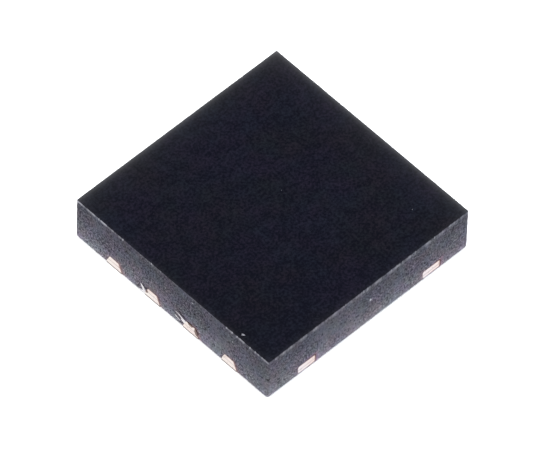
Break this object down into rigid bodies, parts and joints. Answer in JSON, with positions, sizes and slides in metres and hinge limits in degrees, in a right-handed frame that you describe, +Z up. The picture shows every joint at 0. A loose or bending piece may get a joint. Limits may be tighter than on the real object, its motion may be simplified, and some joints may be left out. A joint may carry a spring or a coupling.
{
  "type": "ferroelectric memory chip",
  "caption": "Square flat no-lead memory chip: a sawn black moulded body with copper lead ends along two sides, lands and a die pad underneath, and a wire-bonded die inside.",
  "frame": {"origin": "centre of the seating plane, which the lands and the exposed pad stand on", "axes": "+Z up through the bare top face; the leads come out at the -X and +X sides, and the tie bars at the -Y and +Y sides; leads 1 to 4 run from +Y to -Y along the -X side, and leads 5 to 8 from -Y to +Y along the +X side"},
  "size_m": [0.004, 0.004, 0.0009],
  "materials": {
    "mould_compound": "matte black epoxy moulding compound; its sawn sides are mid grey",
    "plated_copper": "etched copper alloy, bright where it is sawn, matte tin underneath",
    "die_adhesive": "cured silver-filled epoxy",
    "silicon": "polished silicon",
    "gold_wire": "drawn gold"
  },
  "bodies": {
    "root": {"mould_body": "mould_compound", "die_paddle": "plated_copper", "lead_1": "plated_copper", "lead_2": "plated_copper", "lead_3": "plated_copper", "lead_4": "plated_copper", "lead_5": "plated_copper", "lead_6": "plated_copper", "lead_7": "plated_copper", "lead_8": "plated_copper", "die_attach": "die_adhesive", "die": "silicon", "bond_wire_1": "gold_wire", "bond_wire_2": "gold_wire", "bond_wire_3": "gold_wire", "bond_wire_4": "gold_wire", "bond_wire_5": "gold_wire", "bond_wire_6": "gold_wire", "bond_wire_7": "gold_wire", "bond_wire_8": "gold_wire"}
  },
  "joints": []
}
